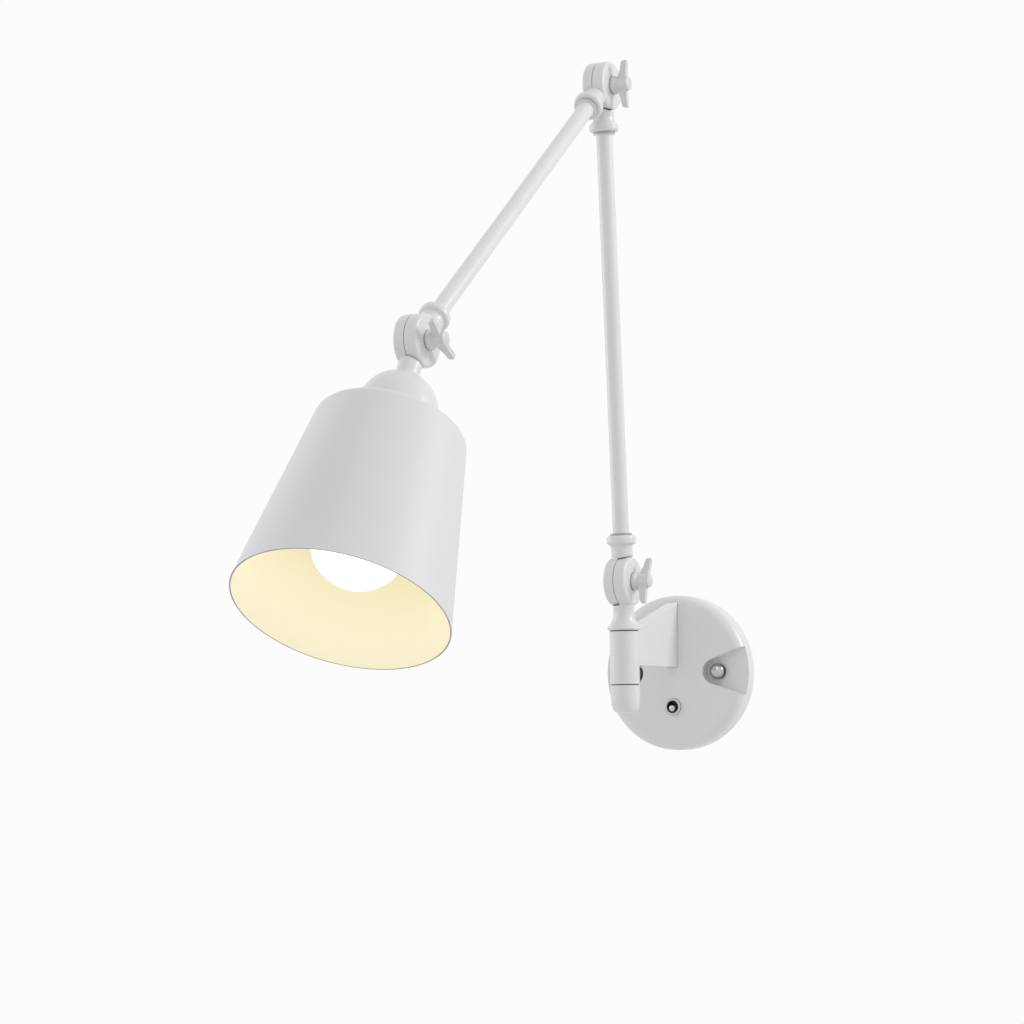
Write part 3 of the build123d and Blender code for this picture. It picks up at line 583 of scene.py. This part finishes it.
# ---- Finishes of the carried-over pieces
def paint_nodes(material, *names):
    """Gives carried-over pieces a material."""
    for name in names:
        node = frame["nodes"][name]
        node.data.materials.clear()
        node.data.materials.append(material)


def at_knuckles(kind):
    """Names of the like pieces at the three knuckles."""
    return [f"{knuckle}_{kind}" for knuckle in KNUCKLES]


class LAMP_OT_finishes(bpy.types.Operator):
    """Give every carried-over piece its finish"""

    bl_idname = "lamp.finishes"
    bl_label = "Finishes"

    def execute(self, context):
        paint = context.scene.lamp_paint
        white = powder_coat("white_powder_coat", paint.color, paint.roughness, paint.grain)
        paint_nodes(white, "canopy", "arm_bracket", "bottom_cap", "lower_arm_tube",
                    "upper_arm_tube", "socket_cup", "shade")
        castings = casting_coat("casting_coat", paint.casting_color, paint.roughness,
                                paint.grain, with_step_shade=False)
        paint_nodes(castings, "lower_arm_foot_fitting", "upper_arm_elbow_fitting",
                    "upper_arm_head_fitting")
        # castings whose step round the disc gets near-black painted shade
        step_shaded = casting_coat("step_shaded_casting_coat", paint.casting_color, paint.roughness,
                               paint.grain, with_step_shade=True)
        paint_nodes(step_shaded, "swivel_spindle", "lower_arm_elbow_fitting", "head_fitting")
        # the same white coat, darker as painted shade
        nuts = powder_coat("wing_nut_shaded_coat", paint.nut_shaded_color, paint.roughness, paint.grain)
        paint_nodes(nuts, *at_knuckles("wing_nut"))
        satin = bright_metal("satin_plating", SATIN_PLATING, roughness=0.34)
        paint_nodes(satin, "cap_nuts", "switch_ring_nut", "switch_lever")
        zinc = dull_metal("zinc_plated_steel", ZINC)
        paint_nodes(zinc, "mounting_strap", "strap_studs", "ground_screw", "bracket_screws",
                    *at_knuckles("pivot_bolt"), *at_knuckles("washer"), "cup_nut")
        black = moulded("black_plastic", BLACK_PLASTIC, roughness=0.42)
        paint_nodes(black, "switch_body", "lampholder_body", "shade_ring")
        dark = moulded("bush_plastic", BUSH_PLASTIC, roughness=0.55)
        paint_nodes(dark, "upper_swivel_bush", "lower_swivel_bush")
        fibre = moulded("friction_fibre", FRICTION_FIBRE, roughness=0.80, grain=FIBRE_GRAIN)
        paint_nodes(fibre, *at_knuckles("friction_disc"))
        brass = dull_metal("brass", BRASS)
        paint_nodes(brass, "lampholder_shell", "lampholder_contact", "bulb_contact",
                    "switch_terminals")
        base = dull_metal("bulb_base_metal", BULB_BASE_METAL)
        paint_nodes(base, "bulb_base")
        return {"FINISHED"}


# ---- Shade
def shade_side(inset):
    """Rings of the shade's wall at an inset, from the hole in its top to its mouth."""
    slope = atan2(SHADE_MOUTH_R - SHADE_TOP_R, SHADE_LENGTH)
    bend = SHADE_SHOULDER - inset
    start = SHADE_START + inset
    shift = inset / cos(slope) - inset * (SHADE_MOUTH_R - SHADE_TOP_R) / SHADE_LENGTH
    centre_r = SHADE_TOP_R - shift - bend * (1 - sin(slope)) / cos(slope)
    rings = [(SHADE_HOLE_R, start), ((SHADE_HOLE_R + centre_r) / 2, start)]
    rings += arc((centre_r, start + bend), bend, -90.0, -degrees(slope), SHOULDER_STEPS)
    mouth_r = SHADE_MOUTH_R - inset / cos(slope)
    last_r, last_z = rings[-1]
    for step in range(1, WALL_STEPS + 1):
        share = step / WALL_STEPS
        rings.append((last_r + (mouth_r - last_r) * share, last_z + (SHADE_END - last_z) * share))
    return rings


class LAMP_OT_shade(bpy.types.Operator):
    """Add the tapered shade, white outside, warm and with painted light inside"""

    bl_idname = "lamp.shade"
    bl_label = "Shade"

    def execute(self, context):
        paint = context.scene.lamp_paint
        wall = context.scene.lamp_shade.wall
        outside = shade_side(0.0)
        inside = shade_side(wall)
        piece = turned("shade_shell", outside + inside[::-1] + outside[:1])
        for face in piece.data.polygons:
            outwards = face.normal.dot(Vector((face.center.x, face.center.y, 0)).normalized())
            if face.center.z > SHADE_END - wall / 2:
                face.material_index = SHADE_RIM
            elif face.normal.z - outwards > INSIDE_FACING:
                face.material_index = SHADE_INSIDE
            else:
                face.material_index = SHADE_OUTSIDE
        outer = powder_coat("shade_outside", paint.shade_color, paint.shade_roughness, paint.grain)
        inner = glowing_coat("shade_inside", paint.inside_lit_color, roughness=0.6, grain=paint.grain,
                             glow=context.scene.lamp_glow)
        rim = moulded("shade_rim", SHADE_RIM_PAINT, roughness=0.5)
        finish_piece(piece, HEAD, "head", [outer, inner, rim])
        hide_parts("shade")
        return {"FINISHED"}


# ---- Bulb
class LAMP_OT_bulb(bpy.types.Operator):
    """Add the lit globe of the bulb"""

    bl_idname = "lamp.bulb"
    bl_label = "Bulb"

    def execute(self, context):
        globe = arc((0.0, BULB_CENTRE), BULB_R, BULB_NECK_ANGLE, BULB_LAST_ANGLE, GLOBE_STEPS)
        globe_r, globe_z = globe[0]
        rings = [(0, BULB_NECK_START), (BULB_NECK_R, BULB_NECK_START)]
        for step in range(1, NECK_STEPS):
            share = step / NECK_STEPS
            bow = share * share * (3 - 2 * share)  # runs along the axis at both ends
            rings.append((BULB_NECK_R + (globe_r - BULB_NECK_R) * bow,
                          BULB_NECK_START + (globe_z - BULB_NECK_START) * share))
        rings += [*globe, (0, BULB_CENTRE + BULB_R)]
        piece = turned("bulb_globe", rings)
        material = lit_glass("lit_opal_glass", context.scene.lamp_glow)
        finish_piece(piece, HEAD, "head", [material], GLASS_SMOOTH_ANGLE)
        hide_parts("bulb_glass")
        return {"FINISHED"}


# ---- Cap nuts
class LAMP_OT_cap_nuts(bpy.types.Operator):
    """Add the two domed nuts that hold the canopy"""

    bl_idname = "lamp.cap_nuts"
    bl_label = "Cap nuts"

    def execute(self, context):
        centre_z = NUT_HEIGHT - NUT_DOME_R
        start = degrees(asin((NUT_DOME_START - centre_z) / NUT_DOME_R))
        dome = arc((0.0, centre_z), NUT_DOME_R, start, NUT_LAST_ANGLE, DOME_STEPS)
        groove_r = dome[0][0] - NUT_GROOVE
        rings = [(0, 0.0), (NUT_R - NUT_CHAMFER, 0.0), (NUT_R, NUT_CHAMFER), (NUT_R, NUT_SKIRT),
                 (groove_r, NUT_SKIRT + NUT_GROOVE_SLOPE), (groove_r, NUT_DOME_START), *dome,
                 (0, NUT_HEIGHT)]
        nut = turned("cap_nut_right", rings, SMALL_ROUND)
        for face in nut.data.polygons:
            face.material_index = NUT_DOME if face.center.z > NUT_DOME_START else NUT_REFLECTION_SIDE
        bright = bright_metal("bright_plating", BRIGHT_PLATING, roughness=0.12)
        # near-black plating on the side and groove: a painted dark reflection
        dark = bright_metal("skirt_painted_reflection", SKIRT_PAINTED_REFLECTION, roughness=0.2)
        other = nut.copy()
        other.data = nut.data.copy()
        other.name = other.data.name = "cap_nut_left"
        context.collection.objects.link(other)
        for piece, side in ((nut, 1), (other, -1)):
            place = Matrix.Translation((side * NUT_SPACING / 2, -NUT_SEAT, 0)) @ OFF_WALL
            finish_piece(piece, place, "wall_base", [bright, dark])
            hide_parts("cap_nuts")
        return {"FINISHED"}


# ---- Studio
class LAMP_OT_studio(bpy.types.Operator):
    """Add the camera, the pale floor and the soft light"""

    bl_idname = "lamp.studio"
    bl_label = "Studio"

    def execute(self, context):
        settings = context.scene.lamp_studio
        self.add_camera(context)
        self.add_world(context, settings)
        self.add_floor(settings)
        self.add_lamps(settings)
        context.scene.view_settings.view_transform = "Standard"
        return {"FINISHED"}

    def add_camera(self, context):
        toward = Vector((sin(CAMERA_AZIMUTH) * cos(CAMERA_ELEVATION),
                         -cos(CAMERA_AZIMUTH) * cos(CAMERA_ELEVATION), sin(CAMERA_ELEVATION)))
        level = Vector((cos(CAMERA_AZIMUTH), sin(CAMERA_AZIMUTH), 0))
        upright = toward.cross(level)
        right = level * cos(CAMERA_ROLL) + upright * sin(CAMERA_ROLL)
        up = upright * cos(CAMERA_ROLL) - level * sin(CAMERA_ROLL)
        deselect()
        bpy.ops.object.camera_add()
        camera = bpy.context.object
        camera.name = "photo_camera"
        turn = Matrix((right, up, toward)).transposed()
        camera.matrix_world = Matrix.Translation(CAMERA_PLACE) @ turn.to_4x4()
        camera.data.lens = CAMERA_LENS
        camera.data.sensor_width = SENSOR_WIDTH
        camera.data.clip_end = VIEW_DEPTH
        context.scene.camera = camera

    def add_world(self, context, settings):
        world = bpy.data.worlds.new("soft_studio")
        context.scene.world = world
        look = Look(world)
        light = look.node("ShaderNodeBackground", None, {
            "Color": rgba(LIGHT_COLOR), "Strength": settings.world})
        plain = look.node("ShaderNodeBackground", None, {"Color": rgba(settings.background)})
        shader = look.blend(look.seen(), light, plain)
        look.node("ShaderNodeOutputWorld", None, {"Surface": shader})

    def add_floor(self, settings):
        deselect()
        lowest = CAD_BOX[0][2]
        middle = (0, FLOOR_MIDDLE_Y, lowest - settings.floor_drop)
        bpy.ops.mesh.primitive_plane_add(size=settings.floor_size, location=middle)
        floor = bpy.context.object
        floor.name = "floor"
        look = Look(bpy.data.materials.new("pale_floor"))
        paint = look.node("ShaderNodeBsdfDiffuse", None, {"Color": rgba(FLOOR_COLOR)})
        plain = look.node("ShaderNodeEmission", None, {"Color": rgba(settings.background)})
        shader = look.blend(look.seen() * FLOOR_WHITENESS, paint, plain)
        look.node("ShaderNodeOutputMaterial", None, {"Surface": shader})
        floor.data.materials.append(look.owner)

    def add_lamps(self, settings):
        self.add_area("right_light", place=(2.0, 0.7, 1.3), size=0.9, power=settings.right_power)
        self.add_area("left_light", place=(-2.2, -0.5, 0.7), size=1.2, power=settings.left_power)
        self.add_area("front_light", place=(0.5, -2.4, 2.0), size=1.2, power=settings.front_power)

    def add_area(self, name, place, size, power):
        deselect()
        bpy.ops.object.light_add(type="AREA", location=place)
        lamp = bpy.context.object
        lamp.name = name
        lamp.data.size = size
        lamp.data.energy = power
        aim = LIGHT_AIM - Vector(place)
        lamp.rotation_euler = aim.to_track_quat("-Z", "Y").to_euler()


# ---- Panel
class LAMP_PT_panel(bpy.types.Panel):
    bl_idname = "LAMP_PT_panel"
    bl_label = "Wall Lamp"
    bl_space_type = "VIEW_3D"
    bl_region_type = "UI"
    bl_category = "Wall Lamp"

    def draw(self, context):
        for step in STEPS:
            self.layout.operator(step.bl_idname)


GROUPS = {
    "lamp_paint": LampPaintSettings,
    "lamp_glow": LampGlowSettings,
    "lamp_shade": LampShadeSettings,
    "lamp_studio": LampStudioSettings,
}
STEPS = (LAMP_OT_finishes, LAMP_OT_shade, LAMP_OT_bulb, LAMP_OT_cap_nuts, LAMP_OT_studio)


def register():
    for kind in (*GROUPS.values(), *STEPS, LAMP_PT_panel):
        bpy.utils.register_class(kind)
    for name, group in GROUPS.items():
        setattr(bpy.types.Scene, name, PointerProperty(type=group))


def unregister():
    for name in GROUPS:
        delattr(bpy.types.Scene, name)
    for kind in reversed((*GROUPS.values(), *STEPS, LAMP_PT_panel)):
        bpy.utils.unregister_class(kind)


def main():
    register()
    bpy.ops.lamp.finishes()
    bpy.ops.lamp.shade()
    bpy.ops.lamp.bulb()
    bpy.ops.lamp.cap_nuts()
    bpy.ops.lamp.studio()


if __name__ == "__main__":
    main()
